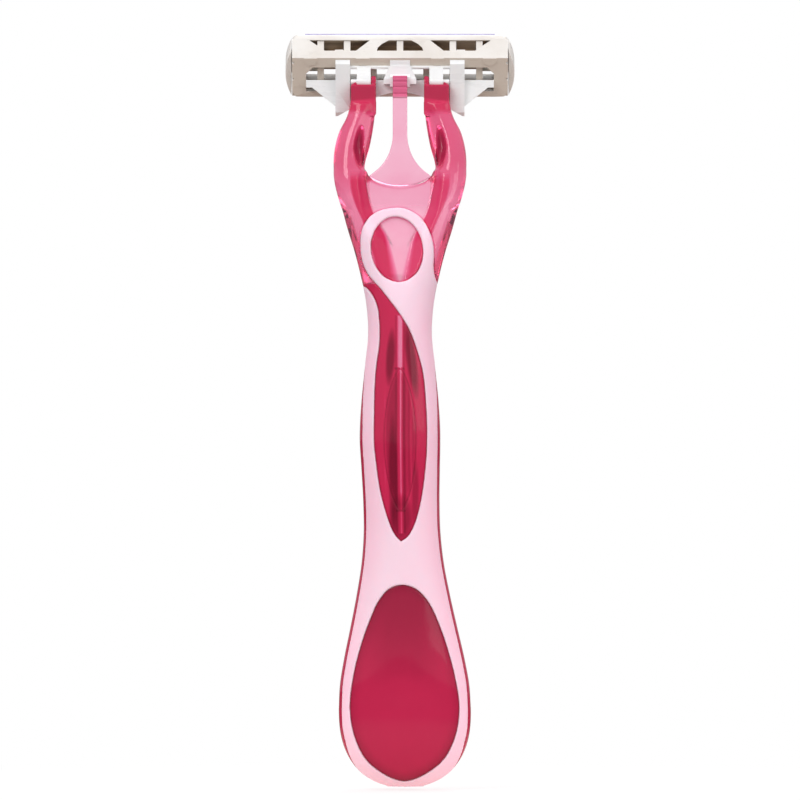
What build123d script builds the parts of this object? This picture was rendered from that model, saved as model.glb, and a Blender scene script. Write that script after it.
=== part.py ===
"""Cartridge razor: a two-shot handle with a forked neck, a spring tongue and a pivoting three-blade head.

Millimetres. +Z runs up the handle to the head, +Y points to the skin side, and X is the head's length.
The origin is midway between the front and back of the razor, below the middle, at the handle's lowest point.
"""

import os
from math import cos, radians, sin

from build123d import *

os.makedirs("parts", exist_ok=True)

# ---------------------------------------------------------------- driving dimensions
# Handle envelope: height, half width, half depth and centre line depth of each station.
STATIONS = [
    (0.0, 2.6, 1.6, -2.8),
    (1.3, 5.8, 3.6, -2.9),
    (4.5, 9.5, 5.7, -3.1),
    (9.0, 11.6, 6.9, -3.3),
    (14.5, 12.2, 7.4, -3.6),
    (24.0, 11.1, 7.2, -4.1),
    (36.0, 8.55, 6.6, -4.5),
    (50.0, 7.1, 6.1, -5.0),
    (65.0, 7.5, 6.1, -5.2),
    (77.0, 6.6, 5.8, -5.1),
    (84.5, 5.9, 5.4, -4.9),
    (92.0, 6.75, 5.1, -4.4),
    (99.0, 8.4, 4.8, -3.7),
    (106.0, 10.35, 4.4, -2.7),
    (110.5, 11.45, 4.1, -1.9),
]
LEAN = 0.95  # how far the handle's lower end drifts to the right of the head's middle
LEAN_Z = 64.0  # the drift starts below this height
SKIN = 0.9  # thickness of the soft overmould
SKIN_TOP_Z = 93.0
FLANK_HALF = 1.4  # half width of the core strip left bare along each flank
FLANK_Z = (4.5, 78.0)
SCOOP = [  # height, half width and depth of the hollow in the front of the neck
    (91.0, 0.8, 0.3),
    (96.0, 3.2, 1.5),
    (101.0, 5.4, 2.5),
    (106.0, 7.2, 3.1),
    (111.0, 8.2, 3.3),
    (116.0, 8.6, 3.3),
]

# Fork
ROOT_Z = 111.2  # lowest point of the arc where the tongue springs from the neck
ROOT_GAP = 0.12
ARM_STATIONS = [  # height, centre x, half width, half depth, centre y
    (102.0, 6.4, 2.4, 3.4, -3.3),
    (107.0, 8.2, 2.8, 3.4, -2.5),
    (112.5, 9.4, 2.85, 3.2, -1.2),
    (115.5, 9.3, 3.0, 3.0, -0.5),
    (118.2, 8.65, 3.2, 2.8, 0.1),
    (121.2, 7.9, 3.05, 2.5, 0.9),
    (124.0, 7.0, 2.5, 2.1, 1.7),
    (126.5, 6.78, 2.33, 1.6, 2.2),
]
EAR_INNER_X = (4.45, 5.37)
EAR_OUTER_X = (8.05, 9.1)
BLOCK_HALF_DEPTH = 1.1
BLOCK_Z = 125.6
SADDLE_Z = 129.3
LIP_Y = (0.65, 1.3)  # the wall that hides the knuckle from the front
LIP_Z = 130.0

# Head pivot, running along X
PIVOT_Y = 2.4
PIVOT_Z = 130.5
PIN_R = 0.5
RUNNING = 0.05
EAR_R = 1.1
KNUCKLE_R = 1.0
LUG_X = (5.44, 7.98)

# Spring tongue
TONGUE_TIP_Z = 131.6
TONGUE_ROOT_Z = 111.2
TONGUE_HALF_W = 1.35
CAM_Y = 1.6  # front flat of the cam that bears on the tongue
CAM_HALF = 0.9

# Head: u runs along the shaving plane from guard to cap, v from the shaving plane to the back
HEAD_TILT = 30.0
PIVOT_U = 5.2
PIVOT_V = 7.4
HEAD_HALF = 20.0  # half length of the housing
HEAD_U = 11.3
HEAD_V = 5.5
WALL = 0.8
FRAME_V = 2.0  # depth where the face frame meets the rear cover
OPENING_HALF = 17.6
GUARD_U = 2.85
CAP_U = 8.55
FRAME_CORNER = 1.1
CAP_BEND_U = 9.2  # where the sloped cap wall meets the flat back
WINDOW_Z = (136.3, 138.25)  # lower and upper edge of the windows in the cap wall, with the head at rest
WINDOW_Y = (0.0, 5.4)
COVER_CORNER = [(HEAD_HALF - 2.0, 0), (HEAD_HALF, 0), (HEAD_HALF, 2.6), (HEAD_HALF - 0.25, 1.7),
                (HEAD_HALF - 0.8, 0.9)]
NICK_U = (4.5, 7.9)  # two shallow moulding nicks in each end of the cover
NICK = (0.35, 0.5)
BUTTON_X = (-16.6, -6.9, 6.9, 16.6)
BUTTON_R = 1.25
RIB_PITCH = 4.9
RIB_T = 1.2
STRIP_X = 17.6
STRIP_U = (8.9, 11.05)
STRIP_V = (-0.6, 0.7)
GUARD_PAD_U = (0.45, 2.5)
GUARD_PAD_V = (0.0, 1.1)
FIN_T = 0.24
FIN_PITCH = 0.5
CLIP_GAP = 0.12

# Blades
BLADE_U = (3.9, 5.3, 6.7)
BLADE_TILT = 24.0
BLADE_W = 1.9
BLADE_T = 0.1
BLADE_V = 0.08
BLADE_HALF = 17.4
SUPPORT_T = 0.25
LEG_V = 2.6
TAIL_U = (8.25, 10.85)  # the rearmost support's flat tail, seen through the cap wall's windows
TAIL_V = (1.2, 1.45)
FINGER_V = (2.72, 3.1)  # depths of the spring fingers under the supports' legs

# Pivot yoke
PRONG_X = (9.25, 11.95)
YOKE_Y = (3.78, 4.75)
BEAM_TOP_Z = 130.9

s, c = sin(radians(HEAD_TILT)), cos(radians(HEAD_TILT))
BLADE_DU = cos(radians(BLADE_TILT))
BLADE_DV = sin(radians(BLADE_TILT))
U_DIR = (0, -s, c)
V_DIR = (0, -c, -s)
HEAD_Y = PIVOT_Y + PIVOT_U * s + PIVOT_V * c
HEAD_Z = PIVOT_Z - PIVOT_U * c + PIVOT_V * s
SECTION = Plane(origin=(0, HEAD_Y, HEAD_Z), x_dir=U_DIR, z_dir=(1, 0, 0))  # (u, v)
BACK = Plane(origin=(0, HEAD_Y, HEAD_Z), x_dir=(1, 0, 0), z_dir=V_DIR)  # (x, u)
SIDE = Plane.YZ  # (y, z)
FRONT = Plane.XZ  # (x, z), its normal pointing to -Y


def finish(builder, label):
    """Labels a finished sub-part and writes its STEP file."""
    builder.part.label = label
    export_step(builder.part, f"parts/{label}.step")


def lean(z):
    """The sideways place of the handle's centre line at height z."""
    return LEAN * sin(radians(90 * max(1 - z / LEAN_Z, 0)))


def station_at(z):
    """Half width, half depth and centre y of the handle at height z, by straight interpolation."""
    for low, high in zip(STATIONS, STATIONS[1:]):
        if low[0] <= z <= high[0]:
            t = (z - low[0]) / (high[0] - low[0])
            return tuple(a + t * (b - a) for a, b in zip(low[1:], high[1:]))
    return STATIONS[-1][1:]


def envelope(inset):
    """The handle's outer body below the fork, drawn in by inset all round."""
    with BuildPart(mode=Mode.PRIVATE) as body:
        for z, half_w, half_d, y in STATIONS:
            lift = inset if z == STATIONS[0][0] else 0
            with BuildSketch(Plane((lean(z), y, z + lift))):
                Ellipse(half_w - inset, half_d - inset)
        loft()
    return body.part


def scoop(shrink):
    """The hollow in the front of the neck, made shallower by shrink."""
    with BuildPart(mode=Mode.PRIVATE) as hollow:
        for z, half_w, depth in SCOOP:
            half_d, y = station_at(z)[1:]
            deep = max(depth - shrink, 0.05)
            with BuildSketch(Plane((0, y - half_d - 3.0, z))):
                Ellipse(half_w * 1.35 - 0.6 * shrink, deep + 3.0)
        loft()
    return hollow.part


def ring_outline(grow):
    """The thumb ring's tilted oval, grown by the given width."""
    with BuildSketch(FRONT, mode=Mode.PRIVATE) as oval:
        with Locations((-0.5, 99.5)):
            Ellipse(4.8 + grow, 6.1 + 0.9 * grow, rotation=9)
    return oval.sketch


def egg_outline():
    """The egg-shaped window on the bulb."""
    with BuildSketch(FRONT, mode=Mode.PRIVATE) as egg:
        with BuildLine():
            Spline((0.4, 37.4), (5.0, 33.3), (8.9, 23.5), (10.3, 14.2), (7.4, 5.0), (0.4, 1.5), (-6.6, 5.0),
                   (-9.5, 14.2), (-8.1, 23.5), (-4.2, 33.3), periodic=True)
        make_face()
    return egg.sketch


def teardrop_outline():
    """The swept window on the shaft: it runs from the left flank down to a point in the middle."""
    with BuildSketch(FRONT, mode=Mode.PRIVATE) as drop:
        with BuildLine():
            left = Spline((-7.6, 92.9), (-5.5, 91.6), (-4.2, 88.6), (-3.8, 84.0), (-4.4, 76.5), (-4.8, 65.0),
                          (-3.9, 56.3), (-2.2, 49.7), (0.1, 45.8))
            right = Spline((0.3, 45.8), (2.7, 49.7), (4.2, 55.3), (5.0, 65.0), (4.4, 75.3), (2.6, 82.3),
                           (-0.3, 87.5), (-5.0, 93.0), (-6.6, 95.7), (-7.5, 99.5))
            Line(left @ 1, right @ 0)
            Polyline(right @ 1, (-14, 99.5), (-14, 92.9), left @ 0)
        make_face()
    return drop.sketch


def overmould():
    """The soft skin: full at the back, windowed in front, with its thumb ring; the flanks stay bare."""
    with BuildPart(mode=Mode.PRIVATE) as front_mask:
        with BuildSketch(FRONT):
            with Locations((0, SKIN_TOP_Z / 2)):
                Rectangle(40, SKIN_TOP_Z)
            add(ring_outline(2.0))
            add(ring_outline(0), mode=Mode.SUBTRACT)
            add(egg_outline(), mode=Mode.SUBTRACT)
            add(teardrop_outline(), mode=Mode.SUBTRACT)
        extrude(amount=20)
    with BuildPart(mode=Mode.PRIVATE) as mask:
        with BuildSketch(SIDE):  # front of the centre line, masked by the windows
            with BuildLine():
                spine = Spline(*[(y, z) for z, w, d, y in STATIONS])
                Polyline(spine @ 1, (-20, STATIONS[-1][0]), (-20, 0), spine @ 0)
            make_face()
        extrude(amount=20, both=True)
        add(front_mask.part, mode=Mode.INTERSECT)
        with BuildSketch(SIDE):  # everything behind it
            with BuildLine():
                spine = Spline(*[(y, z) for z, w, d, y in STATIONS])
                Polyline(spine @ 1, (20, STATIONS[-1][0]), (20, 0), spine @ 0)
            make_face()
            with Locations((0, SKIN_TOP_Z + 20)):
                Rectangle(60, 40, mode=Mode.SUBTRACT)
        extrude(amount=20, both=True)
        with BuildSketch(SIDE):  # the bare flanks
            with BuildLine():
                low = [(y - FLANK_HALF, z) for z, w, d, y in STATIONS if FLANK_Z[0] <= z <= FLANK_Z[1]]
                high = [(y + FLANK_HALF, z) for z, w, d, y in STATIONS if FLANK_Z[0] <= z <= FLANK_Z[1]]
                near = Spline(*low)
                far = Spline(*high)
                Line(near @ 0, far @ 0)
                Line(near @ 1, far @ 1)
            make_face()
        extrude(amount=20, both=True, mode=Mode.SUBTRACT)
    with BuildPart(mode=Mode.PRIVATE) as inner:
        add(envelope(SKIN))
        add(scoop(0), mode=Mode.SUBTRACT)
    with BuildPart() as skin:
        add(envelope(0))
        add(scoop(SKIN), mode=Mode.SUBTRACT)
        add(mask.part, mode=Mode.INTERSECT)
        add(inner.part, mode=Mode.SUBTRACT)
    return skin.part


with BuildPart() as grip_overmould:
    add(overmould())
finish(grip_overmould, "grip_overmould")


# ---------------------------------------------------------------- handle core
def tongue_outline(grow):
    """The spring tongue and its fan-shaped root, grown by the given width."""
    with BuildSketch(FRONT.offset(-20), mode=Mode.PRIVATE) as tongue:
        with BuildLine():
            top = TONGUE_TIP_Z + grow
            side = TONGUE_HALF_W + grow
            tip = Line((-side, top), (side, top))
            down = Line(tip @ 1, (side, 120.5))
            low = 5.9 + grow
            flare = Spline(down @ 1, (side + 0.95, 116.7), (low, 112.9), tangents=[(0, -1), (1, -0.55)])
            root = ThreePointArc(flare @ 1, (0, ROOT_Z - grow), (-low, 112.9))
            left = Spline(root @ 1, (-side - 0.95, 116.7), (-side, 120.5), tangents=[(1, 0.55), (0, 1)])
            Line(left @ 1, tip @ 0)
        make_face()
    return tongue.sketch


def right_arm():
    """The right arm of the fork: a loft of ellipses, its end block, and two ears with the pin hole."""
    inner, outer = EAR_INNER_X[0], EAR_OUTER_X[1]
    with BuildPart(mode=Mode.PRIVATE) as arm:
        for z, x, half_w, half_d, y in ARM_STATIONS:
            with BuildSketch(Plane((x, y, z))):
                Ellipse(half_w, half_d)
        loft()
        with BuildSketch(Plane.YZ.offset(inner)):
            with Locations((PIVOT_Y, (BLOCK_Z + SADDLE_Z) / 2)):
                Rectangle(2 * BLOCK_HALF_DEPTH, SADDLE_Z - BLOCK_Z)
        extrude(amount=outer - inner)
        with BuildSketch(Plane.YZ.offset(inner)):
            with Locations((sum(LIP_Y) / 2, (BLOCK_Z + LIP_Z) / 2)):
                Rectangle(LIP_Y[1] - LIP_Y[0], LIP_Z - BLOCK_Z)
        extrude(amount=outer - inner)
        for near, far in (EAR_INNER_X, EAR_OUTER_X):
            with BuildSketch(Plane.YZ.offset(near)):
                with Locations((PIVOT_Y, PIVOT_Z)):
                    Circle(EAR_R)
                with Locations((PIVOT_Y, (BLOCK_Z + PIVOT_Z) / 2)):
                    Rectangle(2 * EAR_R, PIVOT_Z - BLOCK_Z)
                with Locations((PIVOT_Y, PIVOT_Z)):
                    Circle(PIN_R + RUNNING, mode=Mode.SUBTRACT)
            extrude(amount=far - near)
    return arm.part


def slot_cutter():
    """The open slot of the fork, down to the arc where the tongue springs from the neck."""
    low = ROOT_Z - ROOT_GAP
    edge = [(5.0, 112.4), (5.7, 115.8), (5.2, 118.5), (4.6, 122.5), (4.45, 126.0)]
    with BuildPart(mode=Mode.PRIVATE) as cutter:
        with BuildSketch(FRONT.offset(-20)):
            with BuildLine():
                right = Spline((0, low), *edge, tangents=[(1, 0), (0, 1)])
                left = Spline((0, low), *[(-x, z) for x, z in edge], tangents=[(-1, 0), (0, 1)])
                Polyline(right @ 1, (4.45, 140), (-4.45, 140), left @ 1)
            make_face()
        extrude(amount=40)
    return cutter.part


with BuildPart() as handle_core:
    add(envelope(0))
    with BuildSketch(Plane((0, STATIONS[-1][3], STATIONS[-1][0]))):
        Ellipse(STATIONS[-1][1], STATIONS[-1][2])
    with BuildSketch(Plane((0, -1.1, 114.5))):
        Ellipse(8.5, 3.6)
    loft()
    add(scoop(0), mode=Mode.SUBTRACT)
    add(right_arm())
    mirror(right_arm(), about=Plane.YZ)
    add(slot_cutter(), mode=Mode.SUBTRACT)
    extrude(tongue_outline(ROOT_GAP), amount=40, mode=Mode.SUBTRACT)
    add(grip_overmould.part, mode=Mode.SUBTRACT)
finish(handle_core, "handle_core")


# ---------------------------------------------------------------- spring tongue
with BuildPart() as spring_tongue:
    extrude(tongue_outline(0), amount=40)
    with BuildSketch(SIDE):
        with BuildLine():
            back = Spline((-0.5, 111.0), (0.1, 118.0), (0.9, 126.9))
            Polyline(back @ 1, (1.55, 127.6), (1.55, 131.6), (-0.45, 131.6), (-0.45, 126.9))
            front = Spline((-0.45, 126.9), (-1.1, 118.0), (-1.8, 111.0))
            Line(front @ 1, back @ 0)
        make_face()
    extrude(amount=20, both=True, mode=Mode.INTERSECT)
finish(spring_tongue, "spring_tongue")


# ---------------------------------------------------------------- head housing
def prism(points, near, far):
    """A solid with the given (u, v) outline, running along X from near to far."""
    with BuildPart(mode=Mode.PRIVATE) as bar:
        with BuildSketch(SECTION.offset(near)):
            with BuildLine():
                Polyline(*points, close=True)
            make_face()
        extrude(amount=far - near)
    return bar.part


def slab(points, near, far):
    """A solid with the given (x, u) outline, reaching from depth near to depth far."""
    with BuildPart(mode=Mode.PRIVATE) as plate:
        with BuildSketch(BACK.offset(near)):
            with BuildLine():
                Polyline(*points, close=True)
            make_face()
        extrude(amount=far - near)
    return plate.part


def level_bar(points, near, far):
    """A solid with the given (x, z) outline, running along Y from near to far."""
    with BuildPart(mode=Mode.PRIVATE) as bar:
        with BuildSketch(FRONT.offset(-far)):
            with BuildLine():
                Polyline(*points, close=True)
            make_face()
        extrude(amount=far - near)
    return bar.part


def box(x_range, u_range, v_range):
    """A block given by its ranges along X, u and v."""
    (u0, u1), (v0, v1) = u_range, v_range
    return prism([(u0, v0), (u1, v0), (u1, v1), (u0, v1)], *x_range)


def mirrored(points):
    """The same outline on the other side of X = 0."""
    return [(-x, u) for x, u in points]


with BuildPart() as rear_cover:
    add(prism([(0, FRAME_V), (0, 3.6), (1.1, HEAD_V), (CAP_BEND_U, HEAD_V), (HEAD_U, FRAME_V)],
              -HEAD_HALF, HEAD_HALF))
    add(prism([(WALL, FRAME_V), (WALL, 3.75), (1.5, HEAD_V - WALL), (8.75, HEAD_V - WALL), (10.37, FRAME_V)],
              -HEAD_HALF + WALL, HEAD_HALF - WALL), mode=Mode.SUBTRACT)
    # the long opening in the flat back
    opening = [(-17.4, 2.2), (17.4, 2.2), (17.4, 5.9), (16.1, 7.2), (-16.1, 7.2), (-17.4, 5.9)]
    add(slab(opening, HEAD_V - WALL - 0.1, HEAD_V + 0.1), mode=Mode.SUBTRACT)
    # three windows in the sloped cap wall
    low, top = WINDOW_Z
    side_window = [(16.8, top), (5.6, top), (8.1, low), (10.4, low), (10.5, low + 0.2), (12.0, low + 0.2),
                   (12.1, low), (13.9, low)]
    arch = [(-4.3, low), (4.3, low), (4.1, low + 0.6), (3.3, low + 1.3), (2.1, top), (-2.1, top),
            (-3.3, low + 1.3), (-4.1, low + 0.6)]
    for window in (side_window, mirrored(side_window), arch):
        add(level_bar(window, *WINDOW_Y), mode=Mode.SUBTRACT)
    for corner in (COVER_CORNER, mirrored(COVER_CORNER)):
        add(slab(corner, 3.2, HEAD_V + 0.1), mode=Mode.SUBTRACT)
    for u in NICK_U:
        for near, far in ((-HEAD_HALF - 1, NICK[0] - HEAD_HALF), (HEAD_HALF - NICK[0], HEAD_HALF + 1)):
            add(box((near, far), (u, u + NICK[1]), (4.4, HEAD_V + 0.1)), mode=Mode.SUBTRACT)
    # small round buttons that hang from the bend over the flat back
    with BuildSketch(BACK.offset(HEAD_V - 0.2)):
        with Locations(*[(x, CAP_BEND_U - 0.3) for x in BUTTON_X]):
            Circle(BUTTON_R)
        with Locations((0, CAP_BEND_U + 1)):
            Rectangle(2 * HEAD_HALF, 2, mode=Mode.SUBTRACT)
    extrude(amount=0.35)
    # upright ribs across the openings
    rib = [(0.8, 3.9), (1.2, 4.8), (8.7, 4.8), (10.95, FRAME_V), (10.0, FRAME_V), (8.4, 3.9)]
    for i in range(-3, 4):
        add(prism(rib, i * RIB_PITCH - RIB_T / 2, i * RIB_PITCH + RIB_T / 2))
finish(rear_cover, "rear_cover")

with BuildPart() as face_frame:
    with BuildSketch(BACK):
        with Locations((0, HEAD_U / 2)):
            RectangleRounded(2 * HEAD_HALF, HEAD_U, FRAME_CORNER)
        with Locations((0, (GUARD_U + CAP_U) / 2)):
            Rectangle(2 * OPENING_HALF, CAP_U - GUARD_U, mode=Mode.SUBTRACT)
    extrude(amount=FRAME_V)
    chamfer(face_frame.faces().sort_by(Axis(BACK.origin, V_DIR))[0].outer_wire().edges(), 0.35)
    add(box((-STRIP_X, STRIP_X), STRIP_U, (-1, STRIP_V[1])), mode=Mode.SUBTRACT)
    add(box((-STRIP_X, STRIP_X), GUARD_PAD_U, (-1, GUARD_PAD_V[1])), mode=Mode.SUBTRACT)
    # room behind the cap bar for the tail of the rearmost blade support
    add(box((-OPENING_HALF, OPENING_HALF), (CAP_U - 0.1, TAIL_U[1] + 0.15), (TAIL_V[0] - 0.1, FRAME_V + 0.1)),
        mode=Mode.SUBTRACT)
finish(face_frame, "face_frame")

with BuildPart() as lubricating_strip:
    add(box((-STRIP_X, STRIP_X), STRIP_U, STRIP_V))
    fillet(lubricating_strip.edges().filter_by(Axis.X).sort_by(Axis(BACK.origin, V_DIR))[:2], 0.2)
finish(lubricating_strip, "lubricating_strip")

with BuildPart() as guard_insert:
    add(box((-STRIP_X, STRIP_X), GUARD_PAD_U, (0.35, GUARD_PAD_V[1])))
    for i in range(4):
        fin_u = GUARD_PAD_U[0] + 0.2 + i * FIN_PITCH
        add(box((-STRIP_X + 0.3, STRIP_X - 0.3), (fin_u, fin_u + FIN_T), (-0.25, 0.4)))
finish(guard_insert, "guard_insert")


# ---------------------------------------------------------------- end clips

def end_clip(side):
    """The crescent clip on one end of the housing, with a lip over the blade ends."""
    base = side * (HEAD_HALF + CLIP_GAP)
    with BuildPart(mode=Mode.PRIVATE) as clip:
        with BuildSketch(BACK.offset(-0.4)):
            with BuildLine():
                arc = ThreePointArc((base, 0.9), (base + side * 1.1, 5.5), (base, 10.1))
                Line(arc @ 1, arc @ 0)
            make_face()
        extrude(amount=5.0)
        lip = sorted((side * 17.05, side * (HEAD_HALF + CLIP_GAP + 0.1)))
        add(box(lip, (3.2, 8.0), (-0.4, 0)))
    return clip.part


with BuildPart() as end_clip_left:
    add(end_clip(-1))
finish(end_clip_left, "end_clip_left")

with BuildPart() as end_clip_right:
    add(end_clip(1))
finish(end_clip_right, "end_clip_right")


# ---------------------------------------------------------------- blades

def along_blade(edge_u, along, depth):
    """The (u, v) point at a distance back from a blade's edge and a depth below its top face."""
    return (edge_u + along * BLADE_DU - depth * BLADE_DV, BLADE_V + along * BLADE_DV + depth * BLADE_DU)


def blade(edge_u):
    """One thin blade: sharpened front edge, flat body."""
    outline = [along_blade(edge_u, 0, 0), along_blade(edge_u, BLADE_W, 0),
               along_blade(edge_u, BLADE_W, BLADE_T), along_blade(edge_u, 0.45, BLADE_T)]
    return prism(outline, -BLADE_HALF, BLADE_HALF)


def support(edge_u):
    """The bent steel strip under one blade: a tilted shelf and a leg running straight back."""
    leg_u = edge_u + 1.5
    low = BLADE_T + SUPPORT_T
    shelf = [along_blade(edge_u, 0.6, BLADE_T), along_blade(edge_u, BLADE_W, BLADE_T),
             along_blade(edge_u, BLADE_W, low), along_blade(edge_u, 0.6, low)]
    top_v = along_blade(edge_u, BLADE_W - 0.25, BLADE_T + 0.1)[1]
    back_u = leg_u + SUPPORT_T
    leg = [(leg_u, top_v), (back_u, top_v), (back_u, LEG_V), (leg_u, LEG_V)]
    with BuildPart(mode=Mode.PRIVATE) as strip:
        add(prism(shelf, -BLADE_HALF, BLADE_HALF))
        add(prism(leg, -BLADE_HALF, BLADE_HALF))
    return strip.part


with BuildPart() as blade_1:
    add(blade(BLADE_U[0]))
finish(blade_1, "blade_1")

with BuildPart() as blade_2:
    add(blade(BLADE_U[1]))
finish(blade_2, "blade_2")

with BuildPart() as blade_3:
    add(blade(BLADE_U[2]))
finish(blade_3, "blade_3")

with BuildPart() as blade_support_1:
    add(support(BLADE_U[0]))
finish(blade_support_1, "blade_support_1")

with BuildPart() as blade_support_2:
    add(support(BLADE_U[1]))
finish(blade_support_2, "blade_support_2")

with BuildPart() as blade_support_3:
    add(support(BLADE_U[2]))
    add(box((-BLADE_HALF, BLADE_HALF), TAIL_U, TAIL_V))
finish(blade_support_3, "blade_support_3")


# ---------------------------------------------------------------- blade springs

def spring_comb(side):
    """A comb of three flexible fingers, one under each blade support, on a block by the housing's end."""
    with BuildPart(mode=Mode.PRIVATE) as comb:
        add(box(sorted((side * 18.0, side * 19.2)), (3.4, 9.0), (FRAME_V, 3.6)))
        for edge_u in BLADE_U:
            finger_u = edge_u + 1.5 + SUPPORT_T / 2
            add(box(sorted((side * 14.9, side * 18.2)), (finger_u - 0.4, finger_u + 0.4), FINGER_V))
    return comb.part


with BuildPart() as blade_spring_left:
    add(spring_comb(-1))
finish(blade_spring_left, "blade_spring_left")

with BuildPart() as blade_spring_right:
    add(spring_comb(1))
finish(blade_spring_right, "blade_spring_right")


# ---------------------------------------------------------------- pivot yoke
def on_side(points, near, far):
    """A solid with the given (y, z) outline, running along X from near to far."""
    with BuildPart(mode=Mode.PRIVATE) as bar:
        with BuildSketch(Plane.YZ.offset(near)):
            with BuildLine():
                Polyline(*points, close=True)
            make_face()
        extrude(amount=far - near)
    return bar.part


def flare():
    """The tapering web beside the cam boss, in front of the housing's flat back."""
    with BuildPart(mode=Mode.PRIVATE) as web:
        with BuildSketch(FRONT.offset(-YOKE_Y[0])):
            with BuildLine():
                Polyline((0, 133.6), (1.85, 133.6), (3.0, 131.1), (3.0, 130.1), (0, 130.1), close=True)
            make_face()
        extrude(amount=1.6)
        add(box((-1, 4), (0, HEAD_U), (0, HEAD_V)), mode=Mode.SUBTRACT)
    return web.part


def half_yoke():
    """The right half of the yoke: plate with its gusset, rail, prong, lug, pin and half the cam boss."""
    with BuildPart(mode=Mode.PRIVATE) as yoke:
        with BuildSketch(FRONT.offset(-YOKE_Y[1])):
            with BuildLine():
                arch = Spline((0, 128.6), (3.0, 128.2), (4.6, 127.6))
                Polyline(arch @ 1, (9.3, 126.8), (11.9, 126.0), (16.3, 129.5), (17.4, 129.5),
                         (17.4, BEAM_TOP_Z), (0, BEAM_TOP_Z), arch @ 0)
            make_face()
            with Locations(((LUG_X[0] + LUG_X[1]) / 2, 130.6)):  # room for the lug
                Rectangle(LUG_X[1] - LUG_X[0] + 0.3, 1.6, mode=Mode.SUBTRACT)
        extrude(amount=YOKE_Y[1] - YOKE_Y[0])
        add(box((0, PRONG_X[1]), (7.25, 7.6), (HEAD_V, 6.2)))
        prong = [(8.8, HEAD_V), (8.3, 6.2), (4.0, 7.7), (-0.2, 9.3), (-1.2, 8.9), (-0.7, 8.0), (1.2, HEAD_V)]
        add(prism(prong, *PRONG_X))
        with BuildSketch(FRONT.offset(-12)):  # the chisel-cut tip
            with BuildLine():
                tip_x = PRONG_X[1] - 0.4
                Polyline((PRONG_X[0] - 1, 126.1), (tip_x, 124.2), (tip_x, 122), (PRONG_X[0] - 1, 122),
                         close=True)
            make_face()
        extrude(amount=24, mode=Mode.SUBTRACT)
        lug = [(7.0, HEAD_V), (7.6, HEAD_V), (7.6, 6.4), (6.1, 7.9), (4.4, 6.8)]
        add(prism(lug, *LUG_X))
        for radius, (near, far) in ((KNUCKLE_R, LUG_X), (PIN_R, (EAR_INNER_X[0], EAR_OUTER_X[1]))):
            with BuildSketch(Plane.YZ.offset(near)):
                with Locations((PIVOT_Y, PIVOT_Z)):
                    Circle(radius)
            extrude(amount=far - near)
        low, high, back = PIVOT_Z - CAM_HALF, PIVOT_Z + CAM_HALF, YOKE_Y[1]
        boss = [(CAM_Y, low), (CAM_Y, high), (2.5, high + 0.7), (2.15, 134.4), (2.27, 134.5),
                (4.35, BEAM_TOP_Z), (back, BEAM_TOP_Z), (back, low)]
        add(on_side(boss, 0, 1.85))
        add(flare())
        bar = [(CAM_Y, 130.1), (CAM_Y, 131.1), (YOKE_Y[0], 131.1), (YOKE_Y[0], 130.1)]
        add(on_side(bar, 0, 3.0))
    return yoke.part


with BuildPart() as pivot_yoke:
    add(half_yoke())
    mirror(half_yoke(), about=Plane.YZ)
finish(pivot_yoke, "pivot_yoke")
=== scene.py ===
"""The razor's looks: sculpted handle pieces, moulded and steel materials, and a white studio."""

import math

import bmesh
import bpy
import numpy as np
import openvdb
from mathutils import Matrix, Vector


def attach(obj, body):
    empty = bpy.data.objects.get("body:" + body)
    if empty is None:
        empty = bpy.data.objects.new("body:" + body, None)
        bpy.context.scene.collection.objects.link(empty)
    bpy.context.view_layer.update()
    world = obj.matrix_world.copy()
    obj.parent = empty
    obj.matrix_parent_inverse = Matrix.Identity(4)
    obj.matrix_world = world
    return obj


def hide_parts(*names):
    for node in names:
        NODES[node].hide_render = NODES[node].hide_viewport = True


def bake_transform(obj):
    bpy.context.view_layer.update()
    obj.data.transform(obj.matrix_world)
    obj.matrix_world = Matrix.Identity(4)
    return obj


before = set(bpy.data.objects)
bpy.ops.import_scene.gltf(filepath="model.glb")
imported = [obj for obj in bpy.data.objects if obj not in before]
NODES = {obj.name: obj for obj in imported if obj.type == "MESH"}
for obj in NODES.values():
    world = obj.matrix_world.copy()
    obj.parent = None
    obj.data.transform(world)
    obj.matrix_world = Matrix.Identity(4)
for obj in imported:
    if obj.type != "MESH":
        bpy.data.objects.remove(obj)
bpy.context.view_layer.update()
MM = 0.001
STEP = 0.2  # grid spacing of the sculpted pieces, mm


# ---------------------------------------------------------------- solid fields on a grid
class Grid:
    """A box of sample points, in mm."""

    def __init__(self, low, high, step):
        self.low, self.step = np.array(low, float), step
        self.count = [int(math.ceil((h - l) / step)) + 1 for l, h in zip(low, high)]
        axes = [np.arange(n, dtype=np.float32) * step + l for n, l in zip(self.count, low)]
        self.x = axes[0][:, None, None]
        self.y = axes[1][None, :, None]
        self.z = axes[2][None, None, :]

    def true_distance(self, field):
        """The field divided by its slope, which makes it a distance near its zero surface."""
        slopes = np.gradient(field, self.step)
        slope = np.sqrt(slopes[0] ** 2 + slopes[1] ** 2 + slopes[2] ** 2)
        return field / np.maximum(slope, 1e-3)


def smooth_max(a, b, k):
    """The larger field, with the crease between them rounded over width k."""
    h = np.maximum(k - np.abs(a - b), 0) / k
    return np.maximum(a, b) + h * h * k * 0.25


def smooth_min(a, b, k):
    """The smaller field, with the crease rounded in the same way."""
    return -smooth_max(-a, -b, k)


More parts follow.
